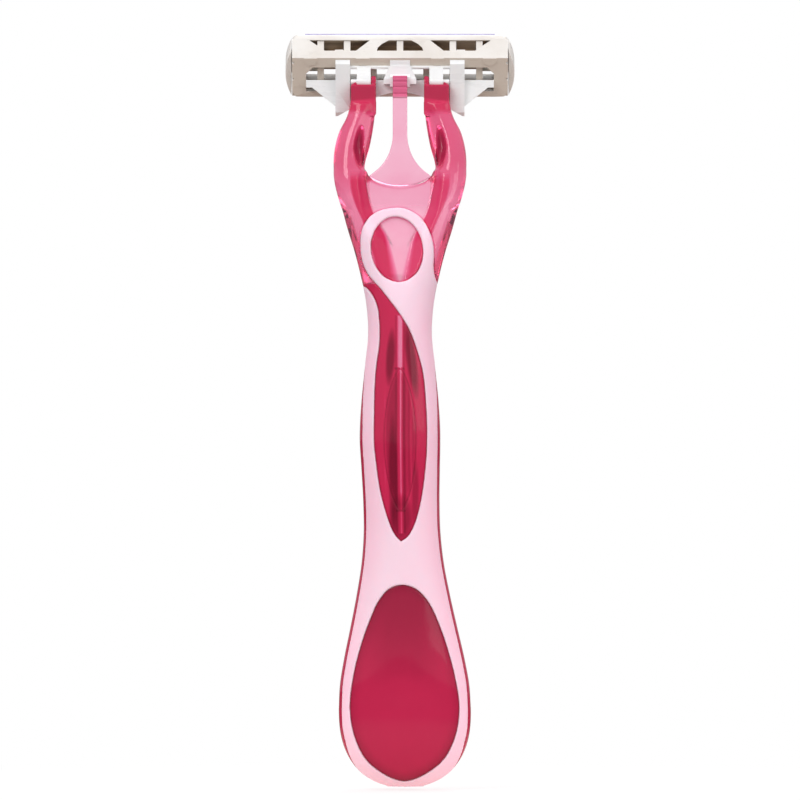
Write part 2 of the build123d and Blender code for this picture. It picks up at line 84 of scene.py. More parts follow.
def curve(stations, column):
    """A smooth function of height through one column of a table whose first column is height."""
    zs = np.array([row[0] for row in stations], float)
    vs = np.array([row[column] for row in stations], float)
    slopes = np.gradient(vs, zs)

    def value(z):
        z = np.clip(z, zs[0], zs[-1])
        i = np.clip(np.searchsorted(zs, z) - 1, 0, len(zs) - 2)
        span = zs[i + 1] - zs[i]
        t = (z - zs[i]) / span
        near = vs[i] * (1 + 2 * t) * (1 - t) ** 2 + slopes[i] * span * t * (1 - t) ** 2
        far = vs[i + 1] * t * t * (3 - 2 * t)
        return (near + far + slopes[i + 1] * span * t * t * (t - 1)).astype(np.float32)

    return value


def outline_distance(points, x, z):
    """Signed distance from each (x, z) to a closed outline, negative inside."""
    best = np.full(np.broadcast(x, z).shape, 1e9, np.float32)
    inside = np.zeros(best.shape, bool)
    for (ax, az), (bx, bz) in zip(points, points[1:] + points[:1]):
        ex, ez = bx - ax, bz - az
        wx, wz = x - ax, z - az
        t = np.clip((wx * ex + wz * ez) / max(ex * ex + ez * ez, 1e-9), 0, 1)
        best = np.minimum(best, (wx - ex * t) ** 2 + (wz - ez * t) ** 2)
        crosses = (az > z) != (bz > z)
        inside ^= crosses & (x < ex * (z - az) / (ez if ez else 1e-9) + ax)
    return np.where(inside, -1, 1) * np.sqrt(best)


def through(points, per_span=6, closed=False):
    """Points along a smooth curve through the given points."""
    pts = [np.array(p, float) for p in points]
    pts = [pts[-1]] + pts + [pts[0], pts[1]] if closed else [pts[0]] + pts + [pts[-1]]
    out = []
    for a, b, c, d in zip(pts, pts[1:], pts[2:], pts[3:]):
        for i in range(per_span):
            t = i / per_span
            bend = (2 * a - 5 * b + 4 * c - d) * t * t
            twist = (3 * b - a - 3 * c + d) * t ** 3
            out.append(tuple(0.5 * (2 * b + (c - a) * t + bend + twist)))
    if not closed:
        out.append(tuple(points[-1]))
    return out


def mesh_from_field(name, grid, field):
    """A smooth mesh of the surface where the field is zero."""
    level = openvdb.FloatGrid(1.0)
    level.copyFromArray(np.ascontiguousarray(np.clip(field / grid.step, -4, 4), np.float32))
    level.transform = openvdb.createLinearTransform(grid.step)
    points, quads = level.convertToQuads(0.0)
    points = (points + grid.low) * MM
    mesh = bpy.data.meshes.new(name)
    mesh.vertices.add(len(points))
    mesh.vertices.foreach_set("co", points.astype(np.float32).ravel())
    mesh.loops.add(len(quads) * 4)
    mesh.loops.foreach_set("vertex_index", quads.astype(np.int32).ravel())
    mesh.polygons.add(len(quads))
    mesh.polygons.foreach_set("loop_start", np.arange(0, len(quads) * 4, 4, dtype=np.int32))
    mesh.update(calc_edges=True)
    mesh.validate()
    mesh.shade_smooth()
    obj = bpy.data.objects.new(name, mesh)
    bpy.context.scene.collection.objects.link(obj)
    return obj


# ---------------------------------------------------------------- handle shape
STATIONS = [  # height, half width, half depth, centre line depth
    (14.5, 12.25, 7.4, -3.6),
    (19.0, 12.0, 7.4, -3.85),
    (24.0, 11.15, 7.2, -4.1),
    (29.5, 9.95, 6.9, -4.3),
    (36.0, 8.6, 6.6, -4.5),
    (41.5, 7.65, 6.35, -4.75),
    (47.0, 7.15, 6.15, -4.93),
    (53.0, 7.1, 6.1, -5.05),
    (59.0, 7.3, 6.1, -5.15),
    (65.0, 7.5, 6.1, -5.2),
    (71.0, 7.2, 6.0, -5.17),
    (77.0, 6.6, 5.8, -5.1),
    (84.3, 5.9, 5.4, -4.9),
    (90.0, 6.35, 5.15, -4.55),
    (94.5, 7.25, 5.0, -4.2),
    (99.0, 8.4, 4.8, -3.7),
    (103.4, 9.75, 4.6, -3.1),
    (108.0, 10.95, 4.3, -2.35),
    (112.3, 11.85, 4.0, -1.6),
    (118.0, 11.7, 3.6, -0.5),
]
LEAN, LEAN_Z = 0.95, 64.0  # the lower end drifts this far to the right, starting below this height
BULB_Z = 14.5  # below this height the bulb rounds off to its end
ARMS = [  # height, centre x, half width, half depth, centre line depth
    (103.0, 7.3, 1.8, 1.9, -3.1),
    (107.0, 8.3, 2.2, 2.4, -2.45),
    (112.3, 9.5, 2.55, 3.1, -1.3),
    (115.3, 9.35, 2.95, 3.0, -0.6),
    (118.2, 8.85, 3.2, 2.75, 0.05),
    (121.2, 8.15, 3.1, 2.45, 0.85),
    (124.1, 7.22, 2.6, 2.1, 1.5),
    (126.6, 6.8, 2.33, 1.7, 1.8),
]
ARM_FADE = 3.0  # mm over which the arms grow out of the neck
SKIN = 0.9  # thickness of the skin, mm
OVERLAP = 0.05  # the skin bites this far into the core, as a moulded bond does
RECESS = 0.05  # the core's windows lie this far below the skin


def lean(z):
    """The sideways place of the handle's centre line."""
    return LEAN * np.sin(np.clip(1 - z / LEAN_Z, 0, 1) * math.pi / 2)


def radii(grid):
    """Half width, half depth and centre depth at every height of the grid."""
    z = grid.z
    half_w, half_d, mid = (curve(STATIONS, i)(z) for i in (1, 2, 3))
    low = np.clip((BULB_Z - z) / BULB_Z, 0, 1)
    end = np.maximum(1 - low ** 2.5, 1e-5) ** (1 / 2.2)
    mid = mid + 0.9 * low ** 1.5
    return half_w * end, half_d * end, mid


def envelope(grid):
    """Distance to the handle's outer body."""
    half_w, half_d, mid = radii(grid)
    q = np.sqrt(((grid.x - lean(grid.z)) / half_w) ** 2 + ((grid.y - mid) / half_d) ** 2) - 1
    return grid.true_distance(q)


def arms(grid):
    """Distance to the fork's two arms."""
    z = grid.z
    x, half_w, half_d, y = (curve(ARMS, i)(z) for i in (1, 2, 3, 4))
    q = np.sqrt(((np.abs(grid.x) - x) / half_w) ** 2 + ((grid.y - y) / half_d) ** 2) - 1
    d = grid.true_distance(q)
    return np.maximum(smooth_max(d, ARMS[0][0] + ARM_FADE - z, ARM_FADE), z - ARMS[-1][0])


def box_field(grid, low, high):
    """Distance to a box, mirrored in X."""
    centre = [(a + b) / 2 for a, b in zip(low, high)]
    half = [(b - a) / 2 for a, b in zip(low, high)]
    dx = np.abs(np.abs(grid.x) - centre[0]) - half[0]
    dy = np.abs(grid.y - centre[1]) - half[1]
    dz = np.abs(grid.z - centre[2]) - half[2]
    return np.maximum(np.maximum(dx, dy), dz)


SCOOP = [  # height, half width of the floor, slope of the walls, depth of the floor before the centre line
    (86.0, 0.02, 0.3, 6.9),
    (91.0, 0.45, 0.4, 5.0),
    (94.0, 1.0, 0.57, 3.9),
    (98.9, 1.95, 0.8, 2.3),
    (102.2, 2.8, 0.95, 1.6),
    (104.2, 4.0, 1.1, 1.25),
    (106.2, 5.0, 1.2, 1.05),
    (110.4, 6.05, 1.25, 0.9),
    (116.0, 6.6, 1.25, 0.85),
]


def scoop(grid, lift):
    """Distance to the hollow in the front of the neck; lift makes it shallower."""
    z = grid.z
    floor, slope, depth = (curve(SCOOP, i)(z) for i in (1, 2, 3))
    level = curve(STATIONS, 3)(z) - depth - lift - slope * np.maximum(np.abs(grid.x) - floor, 0)
    field = np.maximum(grid.y - level, SCOOP[0][0] - z + 0 * grid.y + 0 * grid.x)
    return grid.true_distance(field)


# the skin's edges as seen from the front, in (x, height)
RING_EDGE = [
    (6.9, 93.2), (6.4, 94.7), (6.2, 96.4), (6.3, 98.5), (6.05, 100.9), (5.2, 103.3), (3.6, 105.5),
    (1.1, 106.9), (-1.2, 107.1), (-3.7, 106.6), (-5.4, 105.6), (-6.6, 104.1), (-7.2, 102.4),
    (-7.35, 100.5), (-7.25, 98.7), (-6.85, 96.8), (-6.0, 94.9), (-4.8, 93.4), (-3.6, 92.1), (-2.2, 90.3),
    (-0.1, 87.5), (1.6, 84.7), (2.7, 82.0), (3.8, 78.4), (4.4, 75.2), (4.8, 70.0), (4.95, 65.5),
    (4.75, 60.3), (4.0, 54.0), (2.9, 49.4), (1.6, 46.7), (0.2, 45.6),
]
LEFT_EDGE = [
    (0.2, 45.6), (-1.0, 46.9), (-2.2, 49.7), (-3.6, 54.8), (-4.4, 60.3), (-4.75, 64.0), (-4.75, 68.0),
    (-4.6, 74.0), (-4.3, 78.0), (-3.8, 81.5), (-3.7, 84.5), (-3.8, 86.5), (-4.05, 88.5), (-4.7, 90.3),
    (-5.5, 91.6), (-6.3, 92.4), (-7.2, 92.7),
]
EGG = [
    (0.4, 37.5), (3.0, 36.7), (5.1, 34.5), (6.7, 31.4), (8.5, 26.5), (10.1, 20.5), (10.9, 14.6), (9.9, 8.8),
    (6.9, 4.2), (0.8, 1.3), (-5.2, 4.2), (-8.1, 8.8), (-9.2, 14.6), (-8.5, 21.0), (-6.9, 27.2), (-5.2, 31.8),
    (-4.0, 34.4), (-2.1, 36.7),
]
OUTSIDE = 14  # beyond the handle's sides, mm
SHOULDERS = (93.0, 92.6)  # where the skin ends at the handle's right and left sides
RING_HOLE = (-0.55, 99.4, 4.75, 6.05)  # middle x and height, half width, half height
RING_TILT = math.radians(8)
BACK_TOP = 92.85  # the skin's upper edge behind
FLANK_TOP = 78.5  # the bare strips along the flanks end here
FLANK_HALF = 2.0


def skin_outline(grid):
    """Distance, seen from the front, to the skin with its ring, swept window and egg window."""
    x, z = grid.x[:, 0, :], grid.z[0]
    right = [(OUTSIDE, -5), (OUTSIDE, SHOULDERS[0])]
    left = [(-OUTSIDE, SHOULDERS[1]), (-OUTSIDE, -5)]
    around = right + through(RING_EDGE) + through(LEFT_EDGE)[1:] + left
    middle_x, middle_z, a, b = RING_HOLE
    dx, dz = x - middle_x, z - middle_z
    u = dx * math.cos(RING_TILT) + dz * math.sin(RING_TILT)
    v = -dx * math.sin(RING_TILT) + dz * math.cos(RING_TILT)
    k0 = np.sqrt((u / a) ** 2 + (v / b) ** 2)
    k1 = np.sqrt((u / a ** 2) ** 2 + (v / b ** 2) ** 2)
    hole = k0 * (k0 - 1) / np.maximum(k1, 1e-6)
    egg = outline_distance(through(EGG, closed=True), x, z)
    return np.maximum(outline_distance(around, x, z), -np.minimum(hole, egg)).astype(np.float32)


def skin_mask(grid):
    """Distance to the space the skin may fill: windowed in front, plain behind, open along the flanks."""
    z = grid.z
    mid = radii(grid)[2]
    front = skin_outline(grid)[:, None, :]
    behind = z - BACK_TOP - 0.7 * (1 - (grid.x / 6.5) ** 2)  # a shallow arch
    shown = np.where(grid.y < mid, front, np.where(z > 70, behind, -5.0) + 0 * grid.y)
    ramp = np.clip((FLANK_TOP - z) / 12, 0, 1) ** 0.6 * np.clip((z - 3.4) / 5, 0, 1) ** 0.5
    flank = np.maximum(np.abs(grid.y - mid) - FLANK_HALF * ramp, 3.0 - np.abs(grid.x - lean(z)))
    return np.maximum(shown, -flank)


PIVOT = (2.4, 130.5)  # depth and height of the head's axis
EAR_X = ((4.45, 5.37), (8.05, 9.1))  # inner and outer face of the two ears on each arm
EAR_Y = (1.3, 3.5)
EAR_R = 1.1
PIN_HOLE_R = 0.56
KNUCKLE = (6.71, 1.34)  # middle and half width of the room between the ears
BLOCK_FOOT, BLOCK_TOP = 124.5, 129.3
LIP_Y, LIP_TOP = (0.65, 1.4), 130.0  # the thin lip in front of each block
EAR_FOOT = 127
OUTER_EAR_TOP, OUTER_EAR_SLANT = 130.55, 0.55
OUTER_EAR_EDGE = 0.05  # the slant begins this far inside the outer ear


def ear_fields(grid):
    """The end blocks with their ears, and the space the knuckles and pins need."""
    (inner, _), (outer, far_side) = EAR_X
    lump = box_field(grid, (inner, EAR_Y[0], BLOCK_FOOT), (far_side, EAR_Y[1], BLOCK_TOP))
    lip = box_field(grid, (inner, LIP_Y[0], BLOCK_FOOT), (far_side, LIP_Y[1], LIP_TOP))
    block = np.minimum(lump, lip)
    around = np.sqrt((grid.y - PIVOT[0]) ** 2 + (grid.z - PIVOT[1]) ** 2) + 0 * grid.x
    x = np.abs(grid.x)
    for near, far in EAR_X:
        slab = np.abs(x - (near + far) / 2) - (far - near) / 2
        neck = box_field(grid, (near, EAR_Y[0], EAR_FOOT), (far, EAR_Y[1], PIVOT[1]))
        block = np.minimum(block, np.maximum(np.minimum(around - EAR_R, neck), slab))
    slant = (grid.z - OUTER_EAR_TOP + OUTER_EAR_SLANT * (x - outer)) * 0.88 + 0 * grid.y
    block = np.maximum(block, np.where(x > outer - OUTER_EAR_EDGE, slant, -9))
    knuckle = np.maximum(around - EAR_R, np.abs(x - KNUCKLE[0]) - KNUCKLE[1])
    return block, np.minimum(knuckle, around - PIN_HOLE_R)


SLOT = [  # right half of the fork's open slot, in (x, height)
    (0.0, 111.08), (3.6, 111.62), (5.55, 112.75), (6.15, 114.2), (6.2, 115.8), (5.35, 118.4), (4.75, 121.5),
    (4.5, 124.5), (4.45, 127),
]
SLOT_HALF = 4.45  # half width of the slot at its top
ABOVE = 140  # beyond the handle's top, mm
CREST = [  # height, how far out the ridge along an arm's front runs
    (104.0, 5.0), (108.0, 5.9), (111.0, 6.7), (112.6, 7.5), (114.5, 8.75), (117.5, 9.1), (121.5, 8.2),
    (124.6, 6.9), (126.6, 5.2), (128, 4.2),
]
FACET_Z = 116.5  # below this height the cut inside the ridge runs out towards the neck
POCKET = (7.65, 118.4)  # middle x and height of the pocket in each arm
POCKET_SIZE = (0.95, 1.9, 3.9)
REAR_SCOOP_Z = 96.0


def slot(grid):
    """Distance, seen from the front, to the open slot of the fork."""
    right = through(SLOT)
    around = right + [(SLOT_HALF, ABOVE), (-SLOT_HALF, ABOVE)] + [(-x, z) for x, z in reversed(right)]
    return outline_distance(around, grid.x[:, 0, :], grid.z[0])[:, None, :]


def arm_facet(grid):
    """Distance to the cut that slants the inner half of each arm's front back towards the slot."""
    z = grid.z
    crest = curve(CREST, 1)(z)
    x, half_w, half_d, y = (curve(ARMS, i)(z) for i in (1, 2, 3, 4))
    edge = np.clip((crest - x) / half_w, -0.9, 0.9)
    fade = np.maximum(FACET_Z - z, 0)
    level = y - half_d * np.sqrt(1 - edge ** 2) + 0.62 * (crest - np.abs(grid.x)) - 0.06 * fade ** 2
    return np.maximum((grid.y - level) * 0.85, ARMS[0][0] - z)


def arm_pocket(grid):
    """Distance to the long pocket on the inner front of each arm."""
    dz = grid.z - POCKET[1]
    dx = np.abs(grid.x) - POCKET[0] + 0.12 * dz * (dz > 0) - 0.16 * dz * (dz < 0)
    front = curve(ARMS, 4)(grid.z) - curve(ARMS, 3)(grid.z) * 0.75
    wide, deep, tall = POCKET_SIZE
    q = np.sqrt((dx / wide) ** 2 + (dz / tall) ** 2 + ((grid.y - front) / deep) ** 2) - 1
    return grid.true_distance(q)


def rear_scoop(grid):
    """Distance to the hollow in the back of the neck."""
    z = grid.z
    half_d, mid = curve(STATIONS, 2)(z), curve(STATIONS, 3)(z)
    grow = np.clip((z - 95) / 15, 0, 1)
    grow = grow * grow * (3 - 2 * grow)
    level = mid + half_d - grow * (half_d - 0.85) + 1.1 * np.maximum(np.abs(grid.x) - 5.5 * grow, 0)
    return grid.true_distance(np.maximum(level - grid.y, REAR_SCOOP_Z - z))


LENS = (51.2, 77.4)  # ends of the lens-shaped panel inside the swept window
LENS_HALF = 2.95
RIB = (46.7, 87.2)  # ends of the window's middle rib
SKIN_TOP = 108.5
WEB_TOP = 114.0  # the neck's web ends here, below the slot


def lens_edge(x, z):
    """Sideways distance to the outline of the lens-shaped panel, negative inside."""
    middle, half = (LENS[0] + LENS[1]) / 2, (LENS[1] - LENS[0]) / 2
    share = np.clip(1 - ((z - middle) / half) ** 2, 0, 1)
    return np.abs(x - lean(z) * 0.5) - LENS_HALF * share ** 0.7


def window_relief(grid):
    """Height of the mouldings inside the swept window: a middle rib and the lens panel's fine groove."""
    x, z = grid.x, grid.z
    rib = 0.16 * np.clip(1 - np.abs(x - lean(z) * 0.5) / 0.42, 0, 1) * ((z > RIB[0]) & (z < RIB[1]))
    inside = (z > LENS[0]) & (z < LENS[1])
    groove = 0.05 * np.clip(1 - np.abs(lens_edge(x, z)) / 0.22, 0, 1) * inside
    return np.where(grid.y < -5, rib - groove, 0)


def handle_fields(grid):
    """The fields of the core and the skin, and the mask that cuts the skin's windows."""
    body = envelope(grid)
    hollow = scoop(grid, 0)
    mask = skin_mask(grid)
    outer = smooth_max(body, -scoop(grid, SKIN), 1.8)
    inner = np.maximum(body + SKIN, -hollow)
    skin = np.maximum(smooth_max(outer, mask, 0.35), -inner - OVERLAP)
    skin = np.maximum(skin, z_limit(grid, SKIN_TOP))
    recess = RECESS * np.clip((94.0 - grid.z) / 2, 0, 1)
    core = np.minimum(body + SKIN, np.maximum(body + recess, -mask))
    core = core - window_relief(grid)
    core = smooth_max(core, z_limit(grid, WEB_TOP), 1.5)
    core = smooth_max(core, -hollow, 0.35)
    core = smooth_max(core, -rear_scoop(grid), 1.0)
    arm = smooth_max(arms(grid), -arm_facet(grid), 0.3)
    core = smooth_min(core, arm, 0.9)
    core = smooth_max(core, -slot(grid), 0.5)
    core = smooth_max(core, -arm_pocket(grid), 0.25)
    block, room = ear_fields(grid)
    core = smooth_min(core, block, 0.5)
    core = np.maximum(core, -room)
    core = np.maximum(core, np.where(grid.z < 110, -skin_above(grid, skin), -9))
    return core, skin, mask


def skin_above(grid, skin):
    """Keeps the core out of the skin's space in the neck."""
    return np.where(grid.z > 88, skin + OVERLAP, 9.0)


def z_limit(grid, top):
    """Distance to the space below a height."""
    return grid.z - top + 0 * grid.x + 0 * grid.y


TONGUE = [  # right half of the tongue's outline, from its tip to its root, in (x, height)
    (1.35, 131.6), (1.35, 128.0), (1.35, 124.0), (1.35, 120.5), (1.55, 118.9), (2.3, 116.7), (3.7, 114.7),
    (5.9, 112.9), (4.2, 111.93), (2.2, 111.3), (0.0, 111.06),
]
BLADE_END, FAN_END = 3, 7  # points of the outline where the fan begins and where the root's arc begins
TONGUE_SIDE = [  # height, front face, back face
    (111.0, -1.8, -0.5), (114.5, -1.45, -0.2), (118.0, -1.1, 0.1), (122.5, -0.78, 0.5), (127.6, -0.45, 0.9),
    (128.1, -0.45, 1.55), (131.6, -0.45, 1.55),
]
ROOT_Z = 111.06
SEAM_TOP = 121.5  # middle of the arc where the tongue springs from the neck
TIP_GROOVES = (128.25, 129.5, 130.5, 131.2)


def seam_offset(x, z):
    """Distance, seen from the front, to the arc where the tongue springs from the neck."""
    return np.sqrt(x ** 2 + (z - SEAM_TOP) ** 2) - (SEAM_TOP - ROOT_Z)


def tongue_field(grid):
    """The spring tongue: a thin fan at its root, a slim blade, and a grooved pad at its tip."""
    fan = through(TONGUE[BLADE_END:FAN_END + 1], 5)
    right = TONGUE[:BLADE_END] + fan + through(TONGUE[FAN_END:], 4)[1:]
    around = right + [(-x, z) for x, z in reversed(right[:-1])]
    plan = outline_distance(around, grid.x[:, 0, :], grid.z[0])[:, None, :]
    zs = [row[0] for row in TONGUE_SIDE]
    front, back = (np.interp(grid.z, zs, [row[i] for row in TONGUE_SIDE]) for i in (1, 2))
    seam = seam_offset(grid.x, grid.z)
    front = front + 0.3 * np.clip(1 - np.abs(seam) / 0.2, 0, 1)
    groove = sum(np.clip(1 - np.abs(grid.z - z) / 0.2, 0, 1) for z in TIP_GROOVES) * 0.14
    depth = np.maximum(front + groove - grid.y, grid.y - back)
    return smooth_max(plan + 0 * grid.y, depth + 0 * grid.x, 0.3).astype(np.float32)


# ---------------------------------------------------------------- what the plastic's colour depends on
def sample(grid, plane, x, z):
    """Values of an (x, z) array at scattered places."""
    i = (x - grid.low[0]) / grid.step
    k = (z - grid.low[2]) / grid.step
    i0 = np.clip(i.astype(int), 0, plane.shape[0] - 2)
    k0 = np.clip(k.astype(int), 0, plane.shape[1] - 2)
    s, t = np.clip(i - i0, 0, 1), np.clip(k - k0, 0, 1)
    low = plane[i0, k0] * (1 - s) + plane[i0 + 1, k0] * s
    high = plane[i0, k0 + 1] * (1 - s) + plane[i0 + 1, k0 + 1] * s
    return low * (1 - t) + high * t


def spot(x, z, place, size, tilt=0.0):
    """A soft blot: 1 at its middle, 0 beyond its size."""
    dz = z - place[1]
    dx = x - place[0] - tilt * dz
    return np.clip(2 * (1.1 - np.sqrt((dx / size[0]) ** 2 + (dz / size[1]) ** 2)), 0, 1)


def line(offset, width):
    """1 along offset = 0, fading to 0 at the given width."""
    return np.clip(1 - np.abs(offset) / width, 0, 1)


# painted shade where the strength is positive, painted light where it is negative
WINDOW_SHADE_AND_LIGHT_SPOTS = [  # strength, place from the window's middle, size, tilt
    (3.4, (-1.75, 79.5), (0.85, 5.2), 0.06),
    (3.6, (2.1, 79.0), (1.0, 7.0), -0.13),
    (2.6, (-1.35, 58.0), (0.85, 11.0), 0.0),
    (1.8, (2.7, 54.5), (0.7, 6.0), 0.02),
    (2.4, (0.0, 49.8), (2.3, 4.4), 0.0),
    (-0.7, (2.1, 64.0), (0.4, 11.0), 0.0),
    (-0.6, (-2.75, 64.0), (0.3, 10.0), 0.0),
]
RIB_HALF = 0.62  # half width of the rib's painted light
RIB_RUN = (46.9, 87.2)  # heights between which the rib's painted light and shade show


def window_light_and_shade(x, z):
    """Added tone inside the swept window: painted shade and painted light from the rib, the lens panel and
    the hollows behind them; negative is lighter.
    """
    u = x - lean(z) * 0.5
    inside = (z > LENS[0]) & (z < LENS[1])
    panel = np.clip(-lens_edge(x, z) * 2, 0, 1) * inside
    run = (z > RIB_RUN[0]) & (z < RIB_RUN[1])
    tone = sum(strength * spot(u, z, place, size, tilt) for strength, place, size, tilt in WINDOW_SHADE_AND_LIGHT_SPOTS)
    # painted shade on the lens panel and along its outline, and two fine painted light lines on it
    tone += 1.7 * panel + 2.4 * line(lens_edge(x, z), 0.2) * inside
    tone -= 1.2 * (line(u - 1.25, 0.3) + line(u - 2.0, 0.22)) * panel
    # painted light along the middle rib with a painted highlight line, between painted dark edges, crossed by
    # a tick at each end of the panel
    tone -= (1.6 * np.clip(2 * (1 - np.abs(u) / RIB_HALF), 0, 1) + 2.0 * line(u - 0.1, 0.26)) * run
    tone += 1.6 * line(np.abs(u) - 0.72, 0.22) * run
    for tick in LENS:
        tone += 2.5 * line(z - tick, 0.3) * (np.abs(u) < 0.9)
    return tone


def egg_light_and_shade(x, z):
    """Added tone inside the egg window: painted shade above, a brighter painted reflection below, with a soft
    curved boundary.
    """
    u = x - 0.6
    arch = z - 20.5 + 0.05 * u ** 2
    tone = 2.2 / (1 + np.exp(-(z - 27.0) / 3.0))
    tone += 1.0 / (1 + np.exp(-arch * 1.6)) * np.clip(1.6 - np.abs(u) / 4.5, 0, 1)
    return tone - 0.6


ABSORB = (0.035, 0.27, 0.172)  # how fast each colour fades per mm of magenta plastic
DEEP = 13.5  # beyond this many mm the plastic only gets darker
SHADE = 0.05  # how fast it darkens per mm beyond that
DYE = (0.9, 0.06, 0.31, 1)
DYE_DENSITY = 70.0  # per metre
WALL_WIDTH = [  # height, width of the dark walls beside the hollow's floor
    (91.0, 2.2), (97.0, 3.0), (102.0, 3.1), (104.8, 2.6), (110.4, 2.95), (116.0, 2.6),
]
NECK_PATH, ARM_PATH = 4.8, 8.2  # mm of plastic that the neck and the arms show
WALL_PATH, FLOOR_PATH = 13.0, 2.6  # the same for the hollow's walls and floor
BLOCK_Z = 124.4  # the arms' end blocks begin here
OPAQUE = 0.12  # how clear the windows below the neck and the bare flanks are, from 0 to 1


def blend_in(base, share, value):
    """Base where share is 0, value where share is 1."""
    return base * (1 - share) + share * value


def core_tones(grid, mask_plane, co):
    """At each vertex of the core: the depth of plastic it shows, in mm, with painted shade and painted light
    added to it as more or less depth, and how clear it is.
    """
    x, y, z = co[:, 0], co[:, 1], co[:, 2]
    front = y < curve(STATIONS, 3)(z)
    path = NECK_PATH + (ARM_PATH - NECK_PATH) * np.clip((z - 109) / 6, 0, 1)
    clear = np.full(len(z), 0.8)
    # the hollow of the neck: a pale floor between deep walls, with painted shade making the left wall darker
    # than the right
    off_floor = np.abs(x) - curve(SCOOP, 1)(z)
    hollow = front & (z > 91) & (z < WEB_TOP)
    blur = 0.15 + 0.06 * np.maximum(106 - z, 0)
    flat = np.clip(0.5 - off_floor / (2 * blur), 0, 1)
    wall = np.where(hollow, np.clip(0.5 - (off_floor - curve(WALL_WIDTH, 1)(z)) / 0.3, 0, 1), 0)
    wall = wall * np.clip((WEB_TOP - z) / 2, 0, 1)
    floor_clear = 0.45 + 0.35 * np.clip((z - 106) / 2, 0, 1)
    path = blend_in(path, wall, blend_in(WALL_PATH - 1.3 * np.sign(x), flat, FLOOR_PATH))
    clear = blend_in(clear, wall, blend_in(0.2, flat, floor_clear))
    # painted shade in the arms' pockets
    arm_front = y < curve(ARMS, 4)(z) + 0.9
    tilt = np.where(z > 118.2, -0.12, 0.08)
    pocket = arm_front * spot(np.abs(x), z, (7.75, 118.2), (0.95, 3.8), tilt)
    path = path + pocket * 16
    clear = clear * (1 - 0.7 * pocket)
    # painted shade: a dark arc in the gap under the root of the tongue, and a dark spot at each of its ends
    path = path + (2 + 0.22 * x ** 2) * line(seam_offset(x, z) - 0.32, 0.3) * front * (z < 113)
    path = path + 12 * front * spot(np.abs(x), z, (5.75, 112.7), (0.75, 1.0), -0.5)
    # the end blocks, the swept window, the egg window and the bare flanks
    swept = front & (z > 45) & (z < 93)
    egg = front & (z < 38.5)
    flank = (np.abs(x - lean(z)) > 5.0) & (np.abs(y - curve(STATIONS, 3)(z)) < 2.3) & (z < 80)
    block = np.clip(z - BLOCK_Z, 0, 1)
    path = blend_in(path, block, DEEP)
    path = np.where(swept, np.maximum(DEEP + 1 + 5 * window_light_and_shade(x, z), 5.5), path)
    # the egg window: painted shade above and a painted reflection below, and darker towards the bottom
    path = np.where(egg, DEEP + 5.3 + 2.8 * egg_light_and_shade(x, z) + 1.3 * np.clip((24 - z) / 12, 0, 1), path)
    clear = np.where(swept | egg | flank, OPAQUE, blend_in(clear, block, 0.3))
    # painted shade along the windows' rims, softly in the egg and finely everywhere
    edge = np.abs(sample(grid, mask_plane, x, z))
    egg_rim_shade = (4 + 4 * np.clip((12 - z) / 6, 0, 1)) * np.clip(1 - edge / 2.0, 0, 1) ** 1.5
    path = path + np.where(egg, egg_rim_shade, 0)
    path = path + np.where(front & (z < 108), (3 + 4 * (z < 92)) * np.clip(1 - edge / 0.36, 0, 1), 0)
    return np.where(flank, DEEP + 5, path), clear


def write_attribute(obj, name, values):
    """Stores one number for each vertex, for the materials to read."""
    attribute = obj.data.attributes.new(name, "FLOAT", "POINT")
    attribute.data.foreach_set("value", np.ascontiguousarray(values, np.float32))


def points_mm(obj):
    """The places of a piece's vertices, in mm."""
    co = np.empty(len(obj.data.vertices) * 3, np.float32)
    obj.data.vertices.foreach_get("co", co)
    return co.reshape(-1, 3) / MM


HANDLE_SPACE = ((-13.2, -12.6, -0.8), (13.6, 5.0, 132.4))  # corners of the handle's grid, mm
TONGUE_SPACE = ((-6.6, -2.6, 110.4), (6.6, 2.4, 132.4))
TIP_Z = 127.4  # the tongue's thicker tip begins here


def sculpt_handle():
    """The core and the skin, which ride on the handle."""
    grid = Grid(*HANDLE_SPACE, STEP)
    core_field, skin_field, mask_field = handle_fields(grid)
    core = mesh_from_field("Handle_core", grid, core_field)
    skin = mesh_from_field("Grip_overmould", grid, skin_field)
    path, clear = core_tones(grid, mask_field[:, 2, :], points_mm(core))
    write_attribute(core, "path", path)
    write_attribute(core, "clear", clear)
    for piece, node in ((core, "handle_core"), (skin, "grip_overmould")):
        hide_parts(node)
        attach(piece, "handle")
    return core, skin


def sculpt_tongue():
    """The tongue, which bends out of the handle."""
    grid = Grid(*TONGUE_SPACE, STEP * 0.6)
    tongue = mesh_from_field("Spring_tongue", grid, tongue_field(grid))
    height = points_mm(tongue)[:, 2]
    tip = np.clip((height - TIP_Z) / 0.6, 0, 1)
    write_attribute(tongue, "path", 2.8 + 4.4 * tip + 0.5 * np.clip((WEB_TOP - height) / 3, 0, 1))
    write_attribute(tongue, "clear", 0.75 - 0.55 * tip)
    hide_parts("spring_tongue")
    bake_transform(tongue)
    return tongue


core, skin = sculpt_handle()
tongue = sculpt_tongue()


